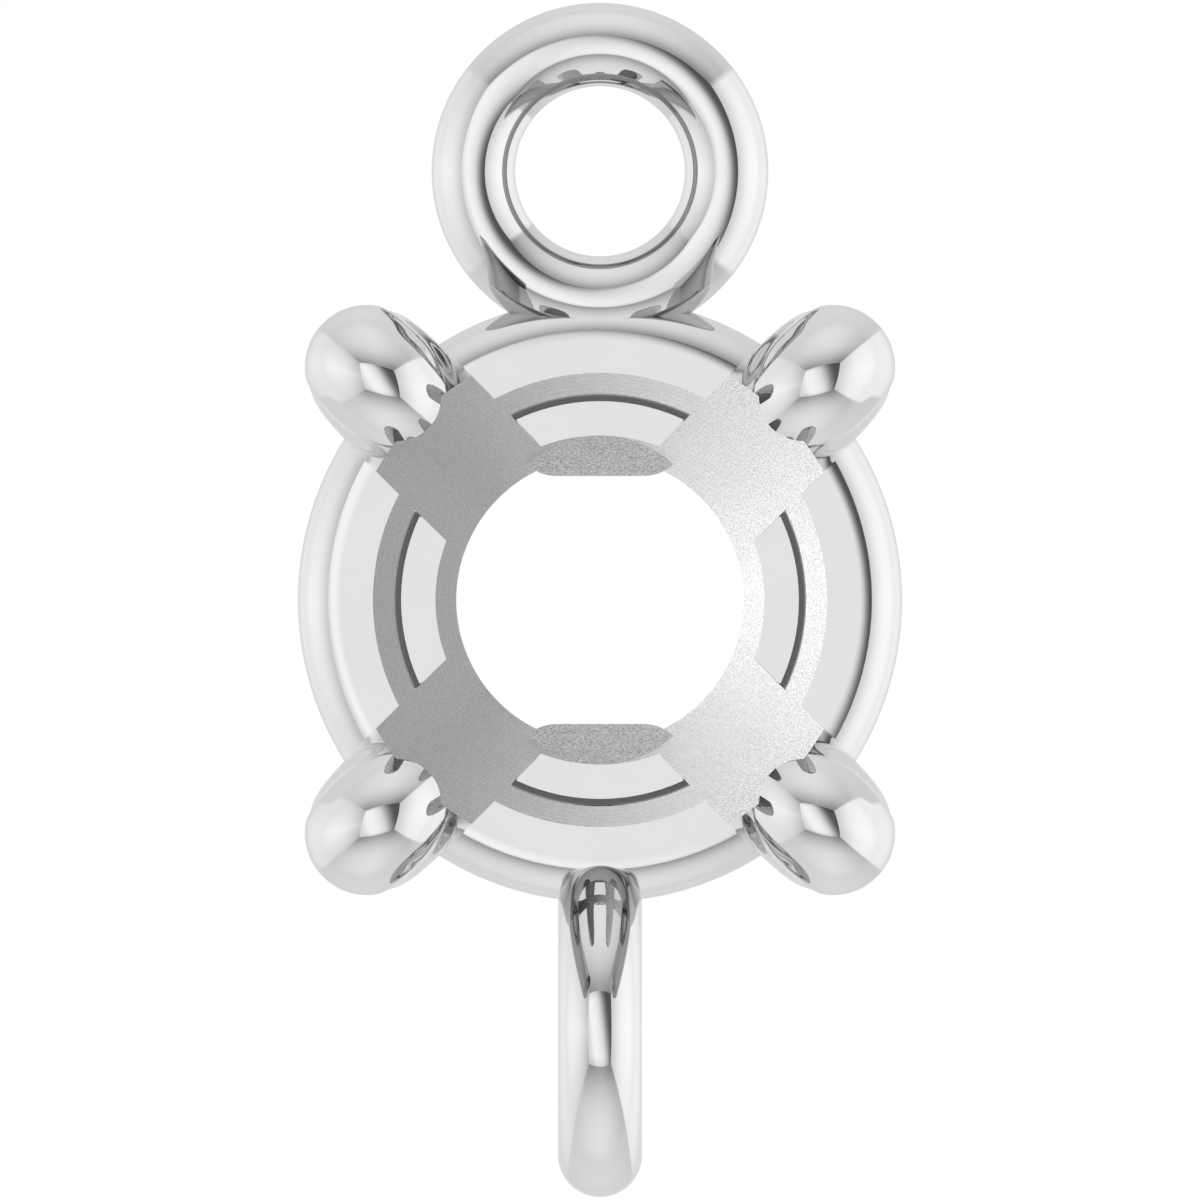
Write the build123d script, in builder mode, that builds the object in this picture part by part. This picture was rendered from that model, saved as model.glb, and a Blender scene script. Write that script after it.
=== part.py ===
"""Four-prong link setting: two galleries, four domed prongs and two jump rings, one solid.

Frame: millimetres, +Z up. The origin is on the axis of the stone seat, at the underside of
the lower gallery. The prongs point up (+Z), the flat jump ring is at +Y and the upright one
at -Y.
"""
import math
import os

from build123d import *

os.makedirs("parts", exist_ok=True)

# Driving dimensions, millimetres and degrees
WIRE_D = 0.50                # jump ring wire, also the height of each gallery
WIRE_R = WIRE_D / 2
GALLERY_GAP = 1.00           # clear height between the two galleries
LOWER_ROUND_R = 1.1875       # centre of the lower gallery's rounded outside
SEAT_R0 = 0.8625             # seat bore radius at the underside
SEAT_SLOPE = 4.0             # rise over run of the seat bore
SEAT_WALL_R = 1.55           # straight wall for a 3.0 mm round stone
SEAT_TOP_Z = 4.275           # top of the straight wall, under the prong tips

RING_MEAN_R = 0.76           # jump ring, to the middle of the wire

PRONG_TIP_Z = 4.02           # centre of the domed tip
PRONG_DEEP = 0.483           # half size of a prong and its tip, along the radius
PRONG_TIP_WIDE = 0.395       # half size of the tip, across
PRONG_LOW_WIDE = 0.411       # half size of the lower prong, across
PRONG_WAIST_Z = 2.75         # the prong narrows from here to its tip
PRONG_ANGLES = (45, 135, 225, 315)

PAD_MID_Y = 0.994            # two sloped pads inside the lower gallery
PAD_HALF_FLAT = 0.264        # half length of the straight inner edge
PAD_SLOPE = 1.42             # rise over run of the pad's face

BORE_STOCK = 0.10            # metal left inside the galleries before the seat is bored

# Derived sizes
UPPER_Z0 = WIRE_D + GALLERY_GAP
UPPER_ROUND_R = LOWER_ROUND_R + UPPER_Z0 / SEAT_SLOPE
UPPER_MID_Z = UPPER_Z0 + WIRE_R
RING_Y = UPPER_ROUND_R + RING_MEAN_R + WIRE_R
SEAT_WALL_Z = (SEAT_WALL_R - SEAT_R0) * SEAT_SLOPE
PRONG_FOOT_Z = -PRONG_DEEP / 2
PAD_TOP_Y = SEAT_R0 + WIRE_D / SEAT_SLOPE
PAD_LOW_Y = PAD_MID_Y - WIRE_R - BORE_STOCK
PAD_LOW_Z = WIRE_D - (PAD_TOP_Y - PAD_LOW_Y) * PAD_SLOPE


def seat_r(z: float) -> float:
    """Radius of the tapered seat bore at height z."""
    return SEAT_R0 + z / SEAT_SLOPE


def prong_plane(angle: float, z: float) -> Plane:
    """Plane square to a prong's axis, where that axis is at height z."""
    a = math.radians(angle)
    lean = math.atan(1 / SEAT_SLOPE)
    out = Vector(math.cos(a), math.sin(a), 0)
    axis = out * math.sin(lean) + Vector(0, 0, math.cos(lean))
    across = Vector(-math.sin(a), math.cos(a), 0)
    return Plane(origin=out * seat_r(z) + Vector(0, 0, z), x_dir=across, z_dir=axis)


# Pads: rounded bars inside the lower gallery with a face that slopes down to the axis
with BuildPart() as pads:
    with BuildSketch(Plane.XY):
        with Locations((0, PAD_MID_Y), (0, -PAD_MID_Y)):
            SlotCenterToCenter(2 * PAD_HALF_FLAT, WIRE_D)
    extrude(amount=WIRE_D)
    with BuildSketch(Plane.YZ):
        with BuildLine():
            Polyline((-PAD_TOP_Y, WIRE_D), (-PAD_LOW_Y, PAD_LOW_Z), (PAD_LOW_Y, PAD_LOW_Z),
                     (PAD_TOP_Y, WIRE_D), close=True)
        make_face()
    extrude(amount=PAD_MID_Y, both=True, mode=Mode.SUBTRACT)

with BuildPart() as link_setting:
    # Both galleries: a block inside, a full round outside, turned about the seat's axis
    for z0, round_r in ((0.0, LOWER_ROUND_R), (UPPER_Z0, UPPER_ROUND_R)):
        with BuildSketch(Plane.XZ):
            inner_r = seat_r(z0) - BORE_STOCK
            with Locations(((inner_r + round_r) / 2, z0 + WIRE_R)):
                Rectangle(round_r - inner_r, WIRE_D)
            with Locations((round_r, z0 + WIRE_R)):
                Circle(WIRE_R)
        revolve(axis=Axis.Z)

    # Prongs: an oval rod along the lean of the seat, with a domed tip
    for angle in PRONG_ANGLES:
        foot = prong_plane(angle, PRONG_FOOT_Z)
        waist = prong_plane(angle, PRONG_WAIST_Z)
        tip = prong_plane(angle, PRONG_TIP_Z)
        for low, high, low_wide, high_wide in ((foot, waist, PRONG_LOW_WIDE, PRONG_LOW_WIDE),
                                               (waist, tip, PRONG_LOW_WIDE, PRONG_TIP_WIDE)):
            with BuildSketch(low):
                Ellipse(low_wide, PRONG_DEEP)
            with BuildSketch(high):
                Ellipse(high_wide, PRONG_DEEP)
            loft(ruled=True)
        with BuildSketch(tip):
            with BuildLine():
                EllipticalCenterArc((0, 0), PRONG_TIP_WIDE, PRONG_DEEP, arc_size=180)
                Line((-PRONG_TIP_WIDE, 0), (PRONG_TIP_WIDE, 0))
            make_face()
        revolve(axis=Axis(origin=tip.origin, direction=tip.x_dir), revolution_arc=180)

    # Level underside
    with BuildSketch(Plane.XY):
        Circle(RING_Y)
    extrude(amount=-WIRE_D, mode=Mode.SUBTRACT)

    # Seat: the tapered bore, then the straight wall up to the underside of the tips
    with BuildSketch(Plane.XZ):
        with BuildLine():
            Polyline((0, -BORE_STOCK), (seat_r(-BORE_STOCK), -BORE_STOCK), (SEAT_WALL_R, SEAT_WALL_Z),
                     (SEAT_WALL_R, SEAT_TOP_Z), (0, SEAT_TOP_Z), close=True)
        make_face()
    revolve(axis=Axis.Z, mode=Mode.SUBTRACT)

    add(pads.part)

    # Jump rings: one lies flat at +Y, one stands upright at -Y
    with Locations(Location((0, RING_Y, UPPER_MID_Z)), Location((0, -RING_Y, UPPER_MID_Z), (0, 90, 0))):
        Torus(RING_MEAN_R, WIRE_R)

link_setting.part.label = "link_setting"
export_step(link_setting.part, "parts/link_setting.step")

box = link_setting.part.bounding_box()
print("solids", len(link_setting.part.solids()), "volume mm3", round(link_setting.part.volume, 4))
print("box", [round(v, 4) for v in (box.min.X, box.min.Y, box.min.Z, box.max.X, box.max.Y, box.max.Z)])
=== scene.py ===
"""Four-prong link setting in polished white metal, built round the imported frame.

Metres, +Z up. The axis of the stone seat is Z, the prongs point up, the flat jump ring is at
+Y and the upright one at -Y. The basket is one closed mesh: two galleries, four domed prongs
and two sloped pads, with the seat bored through them. The jump rings sink into its side.
"""

import logging
import math
from dataclasses import dataclass
from enum import Enum

import bmesh
import bpy
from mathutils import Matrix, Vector
from mathutils.bvhtree import BVHTree
from mathutils.geometry import barycentric_transform


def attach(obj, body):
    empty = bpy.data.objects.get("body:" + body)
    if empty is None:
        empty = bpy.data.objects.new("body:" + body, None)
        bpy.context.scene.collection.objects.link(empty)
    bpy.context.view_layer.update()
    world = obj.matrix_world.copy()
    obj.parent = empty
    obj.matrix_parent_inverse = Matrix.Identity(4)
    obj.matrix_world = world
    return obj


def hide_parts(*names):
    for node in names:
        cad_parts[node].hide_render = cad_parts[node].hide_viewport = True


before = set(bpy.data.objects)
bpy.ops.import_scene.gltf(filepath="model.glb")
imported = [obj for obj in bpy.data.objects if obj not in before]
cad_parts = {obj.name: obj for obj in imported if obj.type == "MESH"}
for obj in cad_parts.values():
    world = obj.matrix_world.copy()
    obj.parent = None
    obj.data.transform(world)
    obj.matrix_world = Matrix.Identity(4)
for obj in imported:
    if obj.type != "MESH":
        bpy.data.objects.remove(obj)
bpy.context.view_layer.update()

LOG = logging.getLogger("link_setting")
MM = 0.001
BODY = "root"
CAD_NODE = "link_setting"
MERGE_DISTANCE = 1e-8
MIDDLE = 0.5    # middle of a pattern that runs from 0 to 1


class Axis3(Enum):
    """How a jump ring stands: the turn that brings its axis from Z to where it points."""

    FLAT = (0.0, 0.0, 0.0)
    UPRIGHT = (0.0, math.pi / 2, 0.0)


# Node trees


class Trees:
    """Makes nodes of any kind in one tree, and links them."""

    def __init__(self, tree: bpy.types.NodeTree) -> None:
        """Keeps the tree that the nodes go into."""
        self.tree = tree

    def node(self, kind: str, settings: dict | None = None, sockets: dict | None = None) -> bpy.types.Node:
        """Adds one node.

        Args:
            kind: Blender's name of the node type.
            settings: attributes to set first, such as a Math node's operation.
            sockets: the value or the link of each input, by its name or its index.

        Returns:
            The new node.
        """
        made = self.tree.nodes.new(kind)
        for name, value in (settings or {}).items():
            setattr(made, name, value)
        for key, value in (sockets or {}).items():
            self.feed(made.inputs[key], value)
        return made

    def feed(self, socket: bpy.types.NodeSocket, value: object) -> None:
        """Links a value's socket to an input, or sets the input to a plain value.

        Args:
            socket: the input.
            value: a value, a socket, or a plain number, vector or colour.
        """
        source = value.socket if isinstance(value, Value) else value
        if isinstance(source, bpy.types.NodeSocket):
            self.tree.links.new(source, socket)
        else:
            socket.default_value = source

    def value(self, made: bpy.types.Node, output: str | int = 0) -> "Value":
        """Wraps one output of a node, so that it can be used in an expression."""
        return Value(self, made.outputs[output])


class Value:
    """A number socket of a shader tree that is used like a number in an expression."""

    def __init__(self, trees: Trees, socket: bpy.types.NodeSocket) -> None:
        """Keeps the socket and the tree that it belongs to."""
        self.trees = trees
        self.socket = socket

    def math(self, operation: str, *others: object) -> "Value":
        """Adds a Math node that takes this value first.

        Args:
            operation: the Math node's operation.
            others: its further operands, values or plain numbers.

        Returns:
            The node's result.
        """
        sockets = dict(enumerate([self, *others]))
        return self.trees.value(self.trees.node("ShaderNodeMath", {"operation": operation}, sockets))

    def reflected(self, operation: str, first: float) -> "Value":
        """Adds a Math node that takes a plain number first and this value second."""
        made = self.trees.node("ShaderNodeMath", {"operation": operation}, {0: first, 1: self})
        return self.trees.value(made)

    def __add__(self, other: object) -> "Value":
        """This value plus another."""
        return self.math("ADD", other)

    def __radd__(self, other: float) -> "Value":
        """A number plus this value."""
        return self.reflected("ADD", other)

    def __sub__(self, other: object) -> "Value":
        """This value less another."""
        return self.math("SUBTRACT", other)

    def __rsub__(self, other: float) -> "Value":
        """A number less this value."""
        return self.reflected("SUBTRACT", other)

    def __mul__(self, other: object) -> "Value":
        """This value times another."""
        return self.math("MULTIPLY", other)

    def __rmul__(self, other: float) -> "Value":
        """A number times this value."""
        return self.reflected("MULTIPLY", other)

    def __truediv__(self, other: object) -> "Value":
        """This value divided by another."""
        return self.math("DIVIDE", other)

    def __abs__(self) -> "Value":
        """This value without its sign."""
        return self.math("ABSOLUTE")

    def upto(self, most: object) -> "Value":
        """The smaller of this value and another."""
        return self.math("MINIMUM", most)

    def atleast(self, least: object) -> "Value":
        """The larger of this value and another."""
        return self.math("MAXIMUM", least)

    def beside(self, other: "Value") -> "Value":
        """The length of a line whose two legs are this value and another."""
        return (self * self + other * other).math("SQRT")

    def mixed(self, low: object, high: object) -> "Value":
        """Low where this value is nought, high where it is one."""
        return self * (high - low) + low

    def eased(self, start: float, end: float) -> "Value":
        """A smooth step along this value.

        Args:
            start: nought up to here.
            end: one from here on.

        Returns:
            The step, with a smooth rise from start to end.
        """
        made = self.trees.node("ShaderNodeMapRange", {"interpolation_type": "SMOOTHSTEP"}, {
            "Value": self, "From Min": start, "From Max": end, "To Min": 0.0, "To Max": 1.0})
        return self.trees.value(made)

    def ramp(self, stops: tuple[tuple[float, float], ...]) -> "Value":
        """Levels along this value, with a smooth line through the stops.

        Args:
            stops: pairs of a place along this value and the level there, in order.

        Returns:
            The level at this value.
        """
        first, last = stops[0][0], stops[-1][0]
        peak = max(level for _, level in stops)
        made = self.trees.node("ShaderNodeValToRGB", {}, {"Fac": (self - first) * (1 / (last - first))})
        made.color_ramp.interpolation = "CARDINAL"
        points = made.color_ramp.elements
        while len(points) < len(stops):
            points.new(1.0)
        for point, (place, level) in zip(points, stops):
            point.position = (place - first) / (last - first)
            point.color = (level / peak,) * 3 + (1.0,)
        return self.trees.value(made) * peak


# Finishes


@dataclass(frozen=True)
class PolishedMetal:
    """Bright white metal with a hand polish."""

    name: str = "polished_white_metal"
    reflectance: float = 0.42
    mottle: float = 0.008
    roughness: float = 0.035
    haze: float = 0.02
    cloud_size: float = 0.5 * MM
    cloud_detail: float = 3.0
    cloud_roughness: float = 0.6
    blue_tint: float = 1.004

    def material(self) -> bpy.types.Material:
        """Builds the finish on Object coordinates.

        Returns:
            The node material.
        """
        made = bpy.data.materials.new(self.name)
        made.use_nodes = True
        made.node_tree.nodes.clear()
        trees = Trees(made.node_tree)
        place = trees.node("ShaderNodeTexCoord").outputs["Object"]
        clouds = trees.value(trees.node("ShaderNodeTexNoise", {}, {
            "Vector": place, "Scale": 1 / self.cloud_size, "Detail": self.cloud_detail,
            "Roughness": self.cloud_roughness}), "Fac")
        level = (clouds - MIDDLE) * (2 * self.mottle) + self.reflectance
        grey = trees.node("ShaderNodeCombineColor", {}, {
            "Red": level, "Green": level, "Blue": level * self.blue_tint})
        shader = trees.node("ShaderNodeBsdfPrincipled", {}, {
            "Base Color": grey.outputs["Color"], "Metallic": 1.0,
            "Roughness": clouds * self.haze + (self.roughness - self.haze / 2)})
        trees.node("ShaderNodeOutputMaterial", {}, {"Surface": shader.outputs["BSDF"]})
        return made


@dataclass(frozen=True)
class TurnedMetal:
    """Satin white metal as a cutter leaves it, with fine rings round the seat's axis."""

    name: str = "turned_white_metal"
    reflectance: float = 0.14
    metallic: float = 0.6
    specular: float = 0.2
    line_contrast: float = 0.06
    grain_contrast: float = 1.0
    grain_relief: float = 1.8
    roughness: float = 0.32
    line_haze: float = 0.04
    line_pitch: float = 0.095 * MM
    wander_size: float = 0.4 * MM
    wander: float = 0.9
    depth: float = 0.0004 * MM
    grain_size: float = 0.012 * MM
    wander_detail: float = 2.0
    grain_detail: float = 1.0

    def material(self) -> bpy.types.Material:
        """Builds the finish on Object coordinates.

        Returns:
            The node material.
        """
        made = bpy.data.materials.new(self.name)
        made.use_nodes = True
        made.node_tree.nodes.clear()
        trees = Trees(made.node_tree)
        place = trees.node("ShaderNodeTexCoord").outputs["Object"]
        height = trees.value(trees.node("ShaderNodeSeparateXYZ", {}, {"Vector": place}), "Z")
        wander = trees.value(trees.node("ShaderNodeTexNoise", {}, {
            "Vector": place, "Scale": 1 / self.wander_size, "Detail": self.wander_detail}), "Fac")
        phase = height * (math.tau / self.line_pitch) + wander * (self.wander * math.tau)
        lines = phase.math("SINE") * MIDDLE + MIDDLE
        grain = trees.value(trees.node("ShaderNodeTexNoise", {}, {
            "Vector": place, "Scale": 1 / self.grain_size, "Detail": self.grain_detail}), "Fac")
        marks = (lines - MIDDLE) * self.line_contrast + (grain - MIDDLE) * (2 * self.grain_contrast)
        level = (marks + 1.0) * self.reflectance
        grey = trees.node("ShaderNodeCombineColor", {}, {"Red": level, "Green": level, "Blue": level})
        bump = trees.node("ShaderNodeBump", {}, {
            "Height": grain * self.grain_relief + lines, "Distance": self.depth, "Strength": 1.0})
        shader = trees.node("ShaderNodeBsdfPrincipled", {}, {
            "Base Color": grey.outputs["Color"], "Metallic": self.metallic,
            "Specular IOR Level": self.specular, "Normal": bump.outputs["Normal"],
            "Roughness": lines * self.line_haze + self.roughness})
        trees.node("ShaderNodeOutputMaterial", {}, {"Surface": shader.outputs["BSDF"]})
        return made


# Sizes


@dataclass(frozen=True)
class Seat:
    """The stone seat, from which the galleries and the prongs take their places."""

    foot_r: float = 0.8625 * MM
    slope: float = 4.0
    wall_r: float = 1.55 * MM
    top_z: float = 4.275 * MM
    centre_r: float = 0.3 * MM
    stock: float = 0.1 * MM
    segments: int = 256
    taper_steps: int = 24

    @property
    def wall_z(self) -> float:
        """Height where the taper meets the straight wall."""
        return (self.wall_r - self.foot_r) * self.slope

    @property
    def lean(self) -> float:
        """Angle of the taper off the axis, in radians."""
        return math.atan(1 / self.slope)

    def radius(self, height: float) -> float:
        """Radius of the taper at a height."""
        return self.foot_r + height / self.slope

    def profile(self) -> list[tuple[float, float]]:
        """The metal that the bore takes away.

        Returns:
            Radius and height of each corner of its section, in order.
        """
        low = -self.stock
        taper = [low + (self.wall_z - low) * k / self.taper_steps for k in range(self.taper_steps + 1)]
        return [(self.centre_r, low)] + [(self.radius(z), z) for z in taper] + [
            (self.wall_r, self.top_z), (self.centre_r, self.top_z)]


@dataclass(frozen=True)
class Wire:
    """The round wire of the jump rings, which also sets the height of a gallery."""

    radius: float = 0.25 * MM
    ring_mean_r: float = 0.76 * MM
    segments_round: int = 64
    segments_along: int = 256


# Making meshes


def collect(obj: bpy.types.Object) -> bpy.types.Object:
    """Links an object to the scene and returns it."""
    bpy.context.scene.collection.objects.link(obj)
    return obj


def plain_mesh(name: str, points: list[Vector], faces: list[tuple[int, ...]],
               edges: tuple[tuple[int, int], ...] = ()) -> bpy.types.Object:
    """A mesh object from its points and faces.

    Args:
        name: name of the object.
        points: its vertices.
        faces: vertex numbers of each face, anticlockwise seen from outside.
        edges: vertex numbers of each edge, for a mesh with no faces.

    Returns:
        The object, linked to the scene.
    """
    mesh = bpy.data.meshes.new(name)
    mesh.from_pydata([tuple(p) for p in points], list(edges), faces)
    mesh.update()
    return collect(bpy.data.objects.new(name, mesh))


def baked(obj: bpy.types.Object, name: str) -> bpy.types.Object:
    """The evaluated object as a plain mesh object with no modifiers.

    Args:
        obj: the object with its modifiers, which is removed.
        name: name of the new object.

    Returns:
        The new object, linked to the scene.
    """
    bpy.context.view_layer.update()
    evaluated = obj.evaluated_get(bpy.context.evaluated_depsgraph_get())
    mesh = bpy.data.meshes.new_from_object(evaluated)
    bpy.data.objects.remove(obj)
    mesh.name = name
    return collect(bpy.data.objects.new(name, mesh))


def outward(obj: bpy.types.Object) -> bpy.types.Object:
    """Merges doubles, turns every face outwards and shades it smooth.

    Args:
        obj: a closed mesh object, which is changed in place.

    Returns:
        The same object.
    """
    shell = bmesh.new()
    shell.from_mesh(obj.data)
    bmesh.ops.remove_doubles(shell, verts=shell.verts, dist=MERGE_DISTANCE)
    bmesh.ops.recalc_face_normals(shell, faces=shell.faces)
    for face in shell.faces:
        face.smooth = True
    shell.to_mesh(obj.data)
    shell.free()
    return obj


class GeometryTree(Trees):
    """A Geometry Nodes tree with named inputs that ends in Realize Instances and Set Material."""

    def __init__(self, name: str, inputs: dict[str, tuple[str, object]]) -> None:
        """Makes the tree and its inputs.

        Args:
            name: name of the tree.
            inputs: the socket type and the value of each input, by its name.
        """
        super().__init__(bpy.data.node_groups.new(name, "GeometryNodeTree"))
        face = self.tree.interface
        face.new_socket("Geometry", in_out="INPUT", socket_type="NodeSocketGeometry")
        self.values = {label: value for label, (_, value) in inputs.items()}
        self.keys = {label: face.new_socket(label, in_out="INPUT", socket_type=kind).identifier
                     for label, (kind, _) in inputs.items()}
        self.keys["Material"] = face.new_socket(
            "Material", in_out="INPUT", socket_type="NodeSocketMaterial").identifier
        face.new_socket("Geometry", in_out="OUTPUT", socket_type="NodeSocketGeometry")
        self.given = self.node("NodeGroupInput")

    def named(self, label: str) -> bpy.types.NodeSocket:
        """The socket of a named input."""
        return self.given.outputs[label]

    def end(self, geometry: bpy.types.NodeSocket) -> None:
        """Closes the tree with Realize Instances and Set Material.

        Args:
            geometry: the socket of the geometry that the tree has made.
        """
        realized = self.node("GeometryNodeRealizeInstances", {}, {"Geometry": geometry})
        dressed = self.node("GeometryNodeSetMaterial", {}, {
            "Geometry": realized.outputs["Geometry"], "Material": self.named("Material")})
        self.node("NodeGroupOutput", {}, {"Geometry": dressed.outputs["Geometry"]})

    def grow(self, obj: bpy.types.Object, material: bpy.types.Material, name: str) -> bpy.types.Object:
        """Runs the tree on an object.

        Args:
            obj: the object whose mesh the tree starts from, which is removed.
            material: what Set Material gives the result.
            name: name of the piece.

        Returns:
            The result as a plain mesh object.
        """
        modifier = obj.modifiers.new(self.tree.name, "NODES")
        modifier.node_group = self.tree
        for label, value in self.values.items():
            modifier[self.keys[label]] = value
        modifier[self.keys["Material"]] = material
        return outward(baked(obj, name))


def turned(name: str, profile: list[tuple[float, float]], segments: int,
           material: bpy.types.Material) -> bpy.types.Object:
    """A closed solid of revolution about Z.

    Args:
        name: name of the object.
        profile: radius and height of each corner, in order round the section.
        segments: number of steps round the axis.
        material: its finish.

    Returns:
        The solid as a plain mesh object.
    """
    path_r = max(radius for radius, _ in profile)
    tree = GeometryTree(name, {"Path radius": ("NodeSocketFloat", path_r),
                               "Segments": ("NodeSocketInt", segments)})
    section = tree.node("GeometryNodeMeshToCurve", {}, {"Mesh": tree.named("Geometry")})
    path = tree.node("GeometryNodeCurvePrimitiveCircle", {}, {
        "Resolution": tree.named("Segments"), "Radius": tree.named("Path radius")})
    swept = tree.node("GeometryNodeCurveToMesh", {}, {
        "Curve": path.outputs["Curve"], "Profile Curve": section.outputs["Curve"]})
    tree.end(swept.outputs["Mesh"])
    points = [Vector((radius - path_r, -height, 0)) for radius, height in profile]
    loop = tuple((k, (k + 1) % len(points)) for k in range(len(points)))
    return tree.grow(plain_mesh(name + "_section", points, [], loop), material, name)


# The setting's pieces


class Surface:
    """A surface of the finished basket, which knows how it faces at any of its points."""

    def facing(self, point: Vector) -> tuple[float, Vector]:
        """How a point lies to the surface.

        Args:
            point: a point on the basket.

        Returns:
            Its distance off the surface, and the direction that the surface faces there.
        """
        raise NotImplementedError


class BoredSeat(Surface):
    """The taper and the straight wall of the bored seat."""

    def __init__(self, seat: Seat) -> None:
        """Keeps the seat's sizes."""
        self.seat = seat

    def facing(self, point: Vector) -> tuple[float, Vector]:
        """The bore faces the axis, and its taper a little upwards.

        Args:
            point: a point on the basket.

        Returns:
            Its distance off the bore, and the direction that the bore faces there.
        """
        r = math.hypot(point.x, point.y)
        taper = self.seat.radius(point.z)
        inward = Vector((-point.x, -point.y, 0.0)).normalized()
        if taper < self.seat.wall_r:
            across = math.cos(self.seat.lean)
            return abs(r - taper) * across, inward * across + Vector((0, 0, math.sin(self.seat.lean)))
        return abs(r - self.seat.wall_r), inward


class Skin(Surface):
    """The outside of an uncut solid."""

    def __init__(self, obj: bpy.types.Object) -> None:
        """Keeps the solid's triangles with the normals of their corners.

        Args:
            obj: the uncut solid as a mesh object.
        """
        mesh = obj.data
        mesh.calc_loop_triangles()
        self.points = [vertex.co.copy() for vertex in mesh.vertices]
        self.triangles = [tuple(each.vertices) for each in mesh.loop_triangles]
        self.normals = [[mesh.corner_normals[k].vector.copy() for k in each.loops]
                        for each in mesh.loop_triangles]
        self.tree = BVHTree.FromPolygons(self.points, self.triangles)

    def facing(self, point: Vector) -> tuple[float, Vector]:
        """The nearest triangle tells how the skin lies and faces.

        Args:
            point: a point on the basket.

        Returns:
            Its distance off the skin, and the smooth normal at the nearest point.
        """
        place, _, number, off = self.tree.find_nearest(point)
        corners = (self.points[k] for k in self.triangles[number])
        return off, barycentric_transform(place, *corners, *self.normals[number]).normalized()


@dataclass
class Gallery(Surface):
    """One gallery ring: a block inside and a full round outside, before the seat is bored."""

    seat: Seat
    wire: Wire
    name: str
    base_z: float
    round_r: float
    arc_steps: int = 28

    def section(self) -> list[tuple[float, float]]:
        """The gallery's section.

        Returns:
            Radius and height of each corner, in order.
        """
        middle = self.base_z + self.wire.radius
        inner = self.seat.radius(self.base_z) - self.seat.stock
        turns = [-math.pi / 2 + math.pi * k / self.arc_steps for k in range(self.arc_steps + 1)]
        arc = [(self.round_r + self.wire.radius * math.cos(a), middle + self.wire.radius * math.sin(a))
               for a in turns]
        return [(inner, self.base_z)] + arc + [(inner, self.base_z + 2 * self.wire.radius)]

    def facing(self, point: Vector) -> tuple[float, Vector]:
        """The flats face up and down, and the round faces away from its centre line.

        Args:
            point: a point on the basket.

        Returns:
            Its distance off the gallery, and the direction that the gallery faces there.
        """
        r = math.hypot(point.x, point.y)
        rise = point.z - self.base_z - self.wire.radius
        if r < self.round_r:
            return abs(abs(rise) - self.wire.radius), Vector((0, 0, math.copysign(1.0, rise)))
        reach = r - self.round_r
        way = Vector((point.x / r * reach, point.y / r * reach, rise))
        return abs(way.length - self.wire.radius), way.normalized()

    def build(self, material: bpy.types.Material) -> bpy.types.Object:
        """The gallery as a closed mesh."""
        return turned(self.name, self.section(), self.seat.segments, material)


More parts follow.
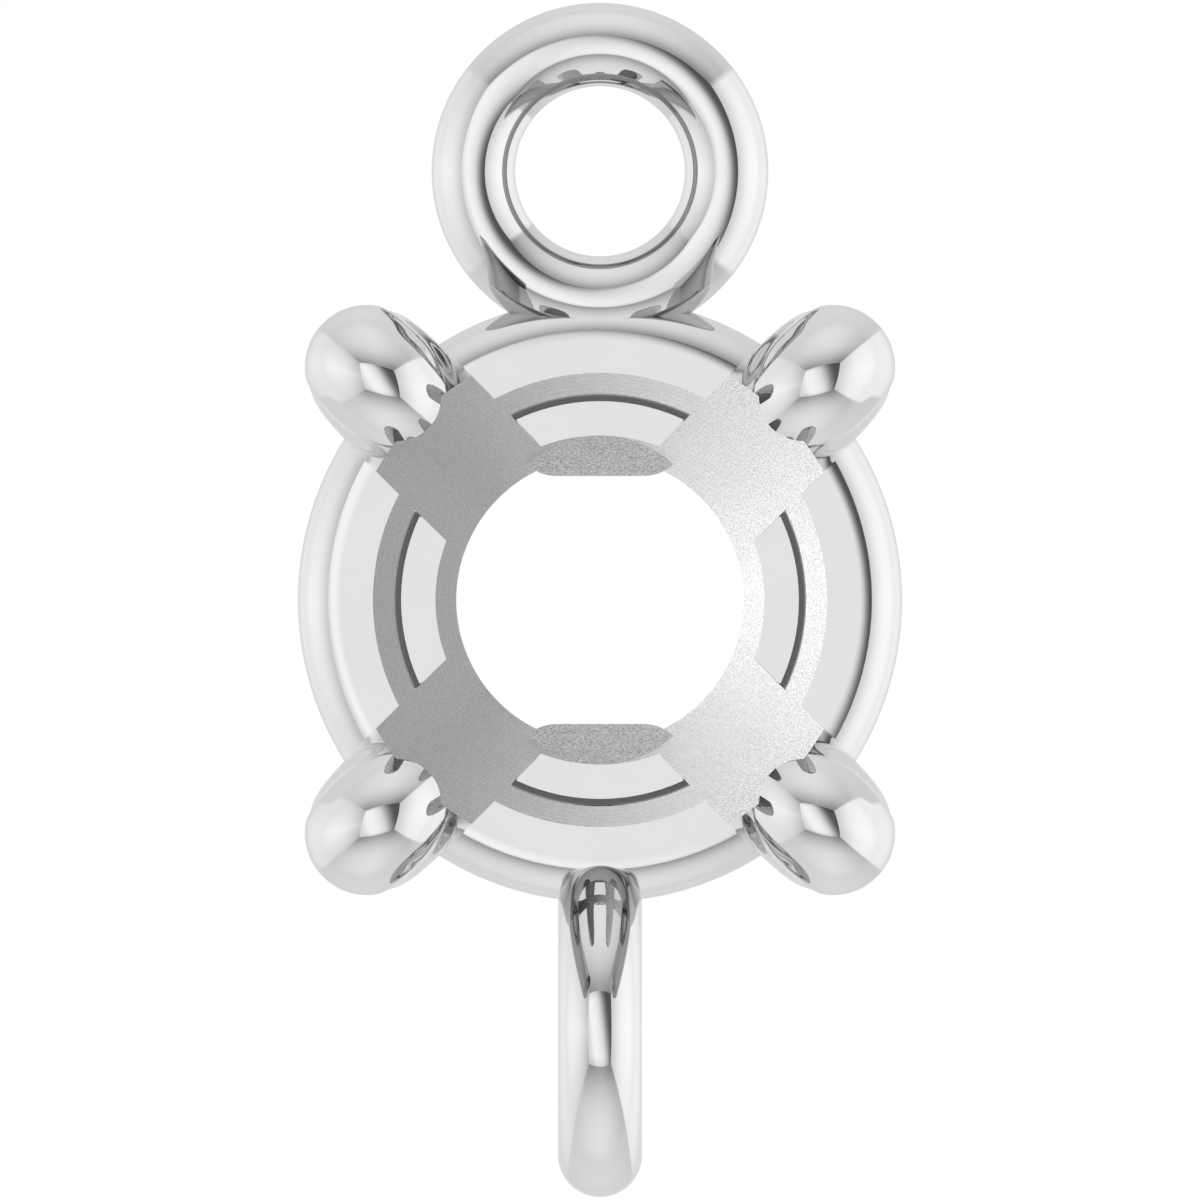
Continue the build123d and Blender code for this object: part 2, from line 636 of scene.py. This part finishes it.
@dataclass
class Prongs:
    """Four leaning prongs of oval section with domed tips."""

    seat: Seat
    tip_z: float = 4.02 * MM
    waist_z: float = 2.75 * MM
    deep: float = 0.483 * MM
    dome_wide: float = 0.352 * MM
    tip_wide: float = 0.395 * MM
    low_wide: float = 0.411 * MM
    crown_r: float = 0.303 * MM
    flank_r: float = 0.375 * MM
    count: int = 4
    first_angle: float = math.pi / 4
    shoulder: float = 0.42 * MM
    crown_join: float = math.radians(68)
    flank_join: float = math.radians(54)
    sideways: float = math.radians(89.99)
    quarter_steps: int = 28
    rows: int = 96
    dome_rows: int = 72

    def oval(self, flank: float, normal_angle: float) -> tuple[float, float]:
        """A point of a prong's section, by the direction that its surface faces.

        A round turns up to the join, and a curve eases from there to the side.

        Args:
            flank: 0 for the section of the crown, 1 for that of the outer flank.
            normal_angle: from 0 in the middle to a right angle at the side, in radians.

        Returns:
            Distance across the prong, and along its depth.
        """
        bend_r = self.crown_r + (self.flank_r - self.crown_r) * flank
        join = self.crown_join + (self.flank_join - self.crown_join) * flank
        turn = min(normal_angle, join)
        t = bend_r * math.sin(turn)
        d = self.deep - bend_r * (1 - math.cos(turn))
        if normal_angle <= join:
            return t, d
        left = self.dome_wide - t
        elbow_d = d - left * math.tan(join)
        pull = (math.tan(min(normal_angle, self.sideways)) - math.tan(join)) * left / elbow_d
        share = pull / (1 + pull)
        eased_t = (1 - share) ** 2 * t + (1 - (1 - share) ** 2) * self.dome_wide
        return eased_t, (1 - share) ** 2 * d + 2 * share * (1 - share) * elbow_d

    def side(self, flank: float, normal_angle: float) -> tuple[float, float]:
        """The section's point on either side of the middle, by the sign of its angle."""
        t, d = self.oval(flank, abs(normal_angle))
        return math.copysign(t, normal_angle), d

    def blank(self) -> bpy.types.Object:
        """Makes one whole prong at +X, before the seat is bored.

        Returns:
            The prong as a closed mesh: rows of one section, then a dome turned over its tip.
        """
        lean = self.seat.lean
        along = Vector((math.sin(lean), 0, math.cos(lean)))
        out = Vector((math.cos(lean), 0, -math.sin(lean)))
        across = Vector((0, 1, 0))
        foot = Vector((self.seat.foot_r, 0, 0))
        tip_s = self.tip_z / math.cos(lean)
        waist_s = self.waist_z / math.cos(lean)
        steps = [math.pi / 2 * k / self.quarter_steps for k in range(-self.quarter_steps,
                                                                     self.quarter_steps + 1)]
        ring = [self.side(1.0, a) for a in steps]
        ring += [(-t, -d) for t, d in (self.side(0.0, a) for a in steps[1:-1])]
        points, faces = [], []
        # The rod: rows of the section from the foot up to the tip, wider below the dome
        for row in range(self.rows + 1):
            share = row / self.rows
            for t, d in ring:
                foot_s = d * math.tan(lean)
                s = foot_s + (tip_s - foot_s) * share
                below = max(0.0, tip_s - s)
                step = min(1.0, below / self.shoulder)
                spread = min(1.0, below / (tip_s - waist_s))
                wide = 1 + (self.tip_wide / self.dome_wide - 1) * step * step * (3 - 2 * step)
                wide += (self.low_wide / self.tip_wide - 1) * spread
                points.append(foot + along * s + out * d + across * (t * wide))
        n = len(ring)
        for row in range(self.rows):
            for k in range(n):
                a, b = row * n + k, row * n + (k + 1) % n
                faces.append((a, b, b + n, a + n))
        faces.append(tuple(reversed(range(n))))
        # The dome: half the section turned over the tip, from the outer side to the inner one
        centre = foot + along * tip_s
        top = self.rows * n
        columns = 2 * self.quarter_steps
        low_pole, high_pole = top, top + columns
        previous = [top + k for k in range(columns + 1)]
        for row in range(1, self.dome_rows + 1):
            turn = math.pi * row / self.dome_rows
            way = out * math.cos(turn) + along * math.sin(turn)
            if row == self.dome_rows:
                current = [low_pole] + [top + n - k for k in range(1, columns)] + [high_pole]
            else:
                flank = max(0.0, math.cos(turn)) ** 2
                start = len(points)
                for angle in steps[1:-1]:
                    t, d = self.side(flank, angle)
                    points.append(centre + way * d + across * t)
                current = [low_pole] + list(range(start, start + columns - 1)) + [high_pole]
            for k in range(columns):
                corners = (previous[k], previous[k + 1], current[k + 1], current[k])
                faces.append(tuple(dict.fromkeys(corners)))
            previous = current
        return plain_mesh("prong_blank", points, faces)

    def build(self, material: bpy.types.Material) -> bpy.types.Object:
        """Places the prongs by a Geometry Nodes pattern round the seat's axis.

        Args:
            material: their finish.

        Returns:
            All the prongs as one plain mesh object.
        """
        tree = GeometryTree("prong_pattern", {
            "Count": ("NodeSocketInt", self.count),
            "First angle": ("NodeSocketFloat", self.first_angle)})
        spots = tree.node("GeometryNodePoints", {}, {"Count": tree.named("Count")})
        index = tree.node("GeometryNodeInputIndex")
        turn = tree.value(tree.node("ShaderNodeMath", {"operation": "DIVIDE"}, {
            0: math.tau, 1: tree.named("Count")}))
        angle = turn * index.outputs["Index"] + tree.named("First angle")
        rotation = tree.node("ShaderNodeCombineXYZ", {}, {"Z": angle})
        placed = tree.node("GeometryNodeInstanceOnPoints", {}, {
            "Points": spots.outputs[0], "Instance": tree.named("Geometry"),
            "Rotation": rotation.outputs["Vector"]})
        tree.end(placed.outputs["Instances"])
        return tree.grow(self.blank(), material, "prongs")


@dataclass
class Pads:
    """Two rounded bars inside the lower gallery, each with a face that slopes to the axis."""

    seat: Seat
    wire: Wire
    mid_y: float = 0.994 * MM
    half_flat: float = 0.264 * MM
    slope: float = 1.42
    outer_y: float = 1.04 * MM
    bury: float = 0.002 * MM
    arc_steps: int = 24

    def blank(self) -> bpy.types.Object:
        """Makes the pad at +Y.

        Returns:
            The pad as a closed mesh.
        """
        r, height = self.wire.radius, 2 * self.wire.radius
        crest_y = self.seat.radius(height)
        crest_a = math.asin((crest_y - self.mid_y) / r)
        inner = [crest_a + (-math.pi / 2 - crest_a) * k / self.arc_steps for k in range(self.arc_steps + 1)]
        outer = [math.pi / 2 + (crest_a - math.pi / 2) * k / self.arc_steps for k in range(self.arc_steps)]
        side = [(self.half_flat + r * math.cos(a), min(self.outer_y, self.mid_y + r * math.sin(a)))
                for a in outer + inner]
        plan = side + [(-x, y) for x, y in reversed(side)]
        n, crest = len(plan), self.arc_steps
        low = [Vector((x, y, 0)) for x, y in plan]
        high = [Vector((x, y, height - self.bury - max(0.0, crest_y - y) * self.slope)) for x, y in plan]
        faces = [(k, (k + 1) % n, n + (k + 1) % n, n + k) for k in range(n)]
        faces.append(tuple(reversed(range(n))))
        faces.append(tuple(n + k for k in range(crest, n - crest)))
        faces.append(tuple(n + k for k in list(range(crest + 1)) + list(range(n - crest - 1, n))))
        return plain_mesh("pad_blank", low + high, faces)

    def build(self, material: bpy.types.Material) -> bpy.types.Object:
        """Turns a second pad half round the axis from the first by Geometry Nodes.

        Args:
            material: their finish.

        Returns:
            Both pads as one plain mesh object.
        """
        tree = GeometryTree("pad_pair", {"Half turn": ("NodeSocketFloat", math.pi)})
        rotation = tree.node("ShaderNodeCombineXYZ", {}, {"Z": tree.named("Half turn")})
        other = tree.node("GeometryNodeTransform", {}, {
            "Geometry": tree.named("Geometry"), "Rotation": rotation.outputs["Vector"]})
        both = tree.node("GeometryNodeJoinGeometry", {}, {"Geometry": tree.named("Geometry")})
        tree.feed(both.inputs["Geometry"], other.outputs["Geometry"])
        tree.end(both.outputs["Geometry"])
        return tree.grow(self.blank(), material, "seat_pads")


@dataclass
class Basket:
    """The galleries, prongs and pads fused into one closed mesh, with the seat bored through."""

    seat: Seat
    wire: Wire
    gallery_gap: float = 1.0 * MM
    lower_round_r: float = 1.1875 * MM
    crease: float = math.radians(28)
    on_surface: float = 0.003 * MM
    same_way: float = 0.9
    level_way: float = 0.999
    inset: float = 0.03

    @property
    def upper_z(self) -> float:
        """Height of the upper gallery's underside."""
        return 2 * self.wire.radius + self.gallery_gap

    @property
    def upper_round_r(self) -> float:
        """Centre of the upper gallery's round, carried out by the seat's taper."""
        return self.lower_round_r + self.upper_z / self.seat.slope

    def under(self, surfaces: list[Surface], centre: Vector, normal: Vector) -> Surface | None:
        """The surface that a face lies on.

        Args:
            surfaces: the surfaces to choose from.
            centre: the face's centre.
            normal: the face's normal.

        Returns:
            The nearest surface that faces the same way, or None.
        """
        best, best_off = None, self.on_surface
        for surface in surfaces:
            off, way = surface.facing(centre)
            if off < best_off and way.dot(normal) > self.same_way:
                best, best_off = surface, off
        return best

    def dress(self, mesh: bpy.types.Mesh, surfaces: list[Surface], cut_surfaces: list[Surface]) -> None:
        """Gives each face its finish, and each corner the normal of the surface under it.

        Args:
            mesh: the fused basket.
            surfaces: all the surfaces that it has.
            cut_surfaces: those of them that have the second finish.
        """
        corner_normals = [None] * len(mesh.loops)
        for face in mesh.polygons:
            surface = self.under(surfaces, face.center, face.normal)
            # Downward faces of the upper gallery take the darker turned finish: painted shade for the dark
            # gap between the galleries.
            shaded_underside = face.normal.z < -self.level_way and face.center.z > self.wire.radius
            face.material_index = int(surface in cut_surfaces or shaded_underside)
            face.use_smooth = True
            for k, number in zip(face.loop_indices, face.vertices):
                point = mesh.vertices[number].co
                inner = point + (face.center - point) * self.inset
                way = surface.facing(inner)[1] if surface else face.normal
                corner_normals[k] = way if way.dot(face.normal) > self.same_way else face.normal
        mesh.normals_split_custom_set(corner_normals)

    def build(self, polished: bpy.types.Material, cut: bpy.types.Material) -> bpy.types.Object:
        """Fuses the solids, bores the seat and gives the bore its own finish.

        Args:
            polished: finish of the outside.
            cut: finish of the bored faces and the pads, also put on the upper gallery's underside, where
                its darker tone is painted shade for the gap between the galleries.

        Returns:
            The basket as a plain mesh object.
        """
        upper = Gallery(self.seat, self.wire, "upper_gallery", self.upper_z, self.upper_round_r)
        lower = Gallery(self.seat, self.wire, "lower_gallery", 0.0, self.lower_round_r)
        base = upper.build(polished)
        prongs = Prongs(self.seat).build(polished)
        bore = turned("seat_bore", self.seat.profile(), self.seat.segments, cut)
        pads = Pads(self.seat, self.wire).build(cut)
        steps = (("UNION", lower.build(polished)), ("UNION", prongs), ("DIFFERENCE", bore), ("UNION", pads))
        for operation, tool in steps:
            tool.data.set_sharp_from_angle(angle=self.crease)
            modifier = base.modifiers.new(tool.name, "BOOLEAN")
            modifier.operation = operation
            modifier.object = tool
            modifier.solver = "MANIFOLD"
        seat, pad_skin, prong_skin = BoredSeat(self.seat), Skin(pads), Skin(prongs)
        base.modifiers.new("triangles", "TRIANGULATE")
        piece = baked(base, "basket")
        for _, tool in steps:
            bpy.data.objects.remove(tool)
        mesh = piece.data
        mesh.materials.clear()
        mesh.materials.append(polished)
        mesh.materials.append(cut)
        self.dress(mesh, [upper, lower, seat, prong_skin, pad_skin], [seat, pad_skin])
        return piece


@dataclass
class JumpRing:
    """A closed ring of round wire, soldered to the side of the upper gallery."""

    wire: Wire
    name: str
    centre: Vector
    stance: Axis3

    def build(self, material: bpy.types.Material) -> bpy.types.Object:
        """Sweeps the ring by Geometry Nodes and sets it in its place.

        Args:
            material: its finish.

        Returns:
            The ring as a plain mesh object.
        """
        tree = GeometryTree(self.name, {
            "Mean radius": ("NodeSocketFloat", self.wire.ring_mean_r),
            "Wire radius": ("NodeSocketFloat", self.wire.radius),
            "Segments along": ("NodeSocketInt", self.wire.segments_along),
            "Segments round": ("NodeSocketInt", self.wire.segments_round),
            "Centre": ("NodeSocketVector", tuple(self.centre)),
            "Turn": ("NodeSocketVector", self.stance.value)})
        path = tree.node("GeometryNodeCurvePrimitiveCircle", {}, {
            "Resolution": tree.named("Segments along"), "Radius": tree.named("Mean radius")})
        section = tree.node("GeometryNodeCurvePrimitiveCircle", {}, {
            "Resolution": tree.named("Segments round"), "Radius": tree.named("Wire radius")})
        swept = tree.node("GeometryNodeCurveToMesh", {}, {
            "Curve": path.outputs["Curve"], "Profile Curve": section.outputs["Curve"]})
        placed = tree.node("GeometryNodeTransform", {}, {
            "Geometry": swept.outputs["Mesh"], "Translation": tree.named("Centre"),
            "Rotation": tree.named("Turn")})
        tree.end(placed.outputs["Geometry"])
        return tree.grow(plain_mesh(self.name + "_start", [], []), material, self.name)


# Studio


@dataclass(frozen=True)
class LightTent:
    """A box of light round the object: a soft front panel, four walls and a dimmer lower half.

    Levels are light, not display values. The front panel is behind the camera, at +Z. Below the
    horizon the walls go on a little dimmer and fade into one bottom level with a darker middle.
    """

    half_width: float = 0.63
    half_height: float = 0.488
    slant: float = 0.38
    front: tuple[tuple[float, float], ...] = (
        (-1.333, 1.43), (-0.952, 1.50), (-0.705, 1.77), (-0.457, 1.86), (-0.219, 1.77), (0.0, 1.59),
        (0.223, 1.21), (0.455, 0.65), (0.707, 0.27), (0.952, 0.18), (1.333, 0.2))
    front_edge: float = 0.18
    front_fade: tuple[float, float] = (0.7, 1.0)
    left: float = 1.87
    right: float = 1.98
    cap: float = 1.53
    left_corner: float = 0.27
    right_corner: float = 0.1
    cap_left_corner: float = 0.2
    cap_right_corner: float = 0.33
    side_shade: float = 0.32
    cap_shade: float = 0.54
    shade_reach: tuple[float, float] = (0.1, 1.0)
    seam: float = 0.03
    rim: float = 0.02
    strength: float = 1.143
    low_share: float = 0.88
    low_dip: float = 0.4
    low_seam: float = 0.35
    bottom: float = 0.8
    bottom_spread: tuple[float, float] = (0.15, 0.9)
    nadir: float = 0.35

    def walls(self, x: Value, y: Value, near: object = 0.0, dip: float = 1.0) -> Value:
        """Light of the walls in a direction.

        Args:
            x: how far the direction goes to the right.
            y: how far it goes up in the picture.
            near: from 0 at the walls' foot to 1 beside the front panel.
            dip: how much of the corners' shade is seen.

        Returns:
            The level of the wall that the direction meets.
        """
        across, up = abs(x / self.half_width), abs(y / self.half_height)
        corner = across.upto(up) / across.atleast(up)
        is_right = (x / (across + up)).eased(-self.seam, self.seam)
        is_cap = ((up - across) / (up + across)).eased(-self.seam, self.seam)
        side_dip = is_right.mixed(self.left_corner * dip, self.right_corner * dip)
        cap_dip = is_right.mixed(self.cap_left_corner * dip, self.cap_right_corner * dip)
        side = is_right.mixed(self.left, self.right) * (1 - corner * side_dip)
        cap = (1 - corner.eased(0.0, 1.0) * cap_dip) * self.cap
        if isinstance(near, Value):
            dim = near.eased(*self.shade_reach)
            side, cap = side * (1 - dim * self.side_shade), cap * (1 - dim * self.cap_shade)
        return is_cap.mixed(side, cap) * self.strength

    def build(self) -> None:
        """Sets the tent as the scene's world. The camera itself sees plain white."""
        world = bpy.data.worlds.new("light_tent")
        bpy.context.scene.world = world
        world.use_nodes = True
        world.node_tree.nodes.clear()
        trees = Trees(world.node_tree)
        way = trees.node("ShaderNodeSeparateXYZ", {}, {
            "Vector": trees.node("ShaderNodeTexCoord").outputs["Generated"]})
        x, y, z = (trees.value(way, k) for k in ("X", "Y", "Z"))
        across, up = x / self.half_width, y / self.half_height
        near = z / abs(across).atleast(abs(up))
        u, v = across / z, up / z
        front = (u + v * self.slant).ramp(self.front) * (
            self.strength - abs(v).eased(*self.front_fade) * (self.strength * self.front_edge))
        in_front = near.eased(1 - self.rim, 1 + self.rim)
        seen = in_front.mixed(self.walls(x, y, near), front)
        off_axis = x.beside(y)
        bottom = off_axis.eased(0.0, self.bottom_spread[0]).mixed(self.nadir, self.bottom) * self.strength
        low = off_axis.eased(*self.bottom_spread).mixed(
            bottom, self.walls(x, y, dip=self.low_dip) * self.low_share)
        seen = (0.0 - z).eased(0.0, self.low_seam).mixed(seen, low)
        camera = trees.value(trees.node("ShaderNodeLightPath"), "Is Camera Ray")
        level = camera.mixed(seen, 1.0)
        grey = trees.node("ShaderNodeCombineColor", {}, {"Red": level, "Green": level, "Blue": level})
        shader = trees.node("ShaderNodeBackground", {}, {"Color": grey.outputs["Color"], "Strength": 1.0})
        trees.node("ShaderNodeOutputWorld", {}, {"Surface": shader.outputs["Background"]})


@dataclass(frozen=True)
class Floor:
    """The plain white floor, which the metal doesn't mirror."""

    half: float = 0.4
    drop: float = 0.002 * MM
    level: float = 1.0

    def build(self) -> None:
        """Makes a flat sheet at the foot of the setting."""
        h, low = self.half, -self.drop
        corners = [Vector((x, y, low)) for x, y in ((-h, -h), (h, -h), (h, h), (-h, h))]
        obj = plain_mesh("floor", corners, [(0, 1, 2, 3)])
        made = bpy.data.materials.new("pale_floor")
        made.use_nodes = True
        made.node_tree.nodes.clear()
        trees = Trees(made.node_tree)
        glow = trees.node("ShaderNodeEmission", {}, {"Color": (self.level,) * 3 + (1.0,), "Strength": 1.0})
        trees.node("ShaderNodeOutputMaterial", {}, {"Surface": glow.outputs[0]})
        obj.data.materials.append(made)
        obj.visible_glossy = False


@dataclass(frozen=True)
class KeyLight:
    """A broad soft light from the left that shows on satin metal alone."""

    azimuth: float = math.radians(180)
    height: float = math.radians(12)
    spread: float = math.radians(150)
    strength: float = 43.0

    def build(self) -> None:
        """Makes the light. It throws no shadow, and polished metal doesn't mirror it."""
        data = bpy.data.lights.new("key_light", "SUN")
        data.energy = self.strength
        data.angle = self.spread
        data.use_shadow = False
        lamp = collect(bpy.data.objects.new("key_light", data))
        lamp.visible_glossy = False
        level, rise = math.cos(self.height), math.sin(self.height)
        source = Vector((level * math.cos(self.azimuth), level * math.sin(self.azimuth), rise))
        lamp.rotation_euler = source.to_track_quat("Z", "Y").to_euler()


@dataclass(frozen=True)
class Camera:
    """A camera straight above the seat, with no perspective."""

    picture_px: int = 1200
    pixel: float = 0.006 * MM
    height: float = 0.1
    nearest: float = 0.001
    farthest: float = 1.0

    def build(self) -> None:
        """Makes the scene's camera."""
        data = bpy.data.cameras.new("camera")
        data.type = "ORTHO"
        data.ortho_scale = self.picture_px * self.pixel
        data.clip_start = self.nearest
        data.clip_end = self.farthest
        camera = collect(bpy.data.objects.new("camera", data))
        camera.location = (0, 0, self.height)
        bpy.context.scene.camera = camera


def keep(piece: bpy.types.Object) -> None:
    """Rides a finished piece on the body, in place of the CAD node, and reports it.

    Args:
        piece: the piece.
    """
    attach(piece, BODY)
    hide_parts(CAD_NODE)
    mesh = piece.data
    mesh.calc_loop_triangles()
    LOG.info("%s: %d triangles", piece.name, len(mesh.loop_triangles))


def main() -> None:
    """Builds the setting and its studio."""
    logging.basicConfig(level=logging.INFO, format="%(name)s %(message)s")
    Camera().build()
    view = bpy.context.scene.view_settings
    view.view_transform = "Standard"
    view.look = "None"

    polished = PolishedMetal().material()
    cut = TurnedMetal().material()
    seat, wire = Seat(), Wire()
    basket = Basket(seat, wire)
    keep(basket.build(polished, cut))
    ring_y = basket.upper_round_r + wire.radius + wire.ring_mean_r
    ring_z = basket.upper_z + wire.radius
    LightTent().build()
    Floor().build()
    KeyLight().build()
    rings = (("flat_jump_ring", ring_y, Axis3.FLAT), ("upright_jump_ring", -ring_y, Axis3.UPRIGHT))
    for name, y, stance in rings:
        keep(JumpRing(wire, name, Vector((0, y, ring_z)), stance).build(polished))


if __name__ == "__main__":
    main()
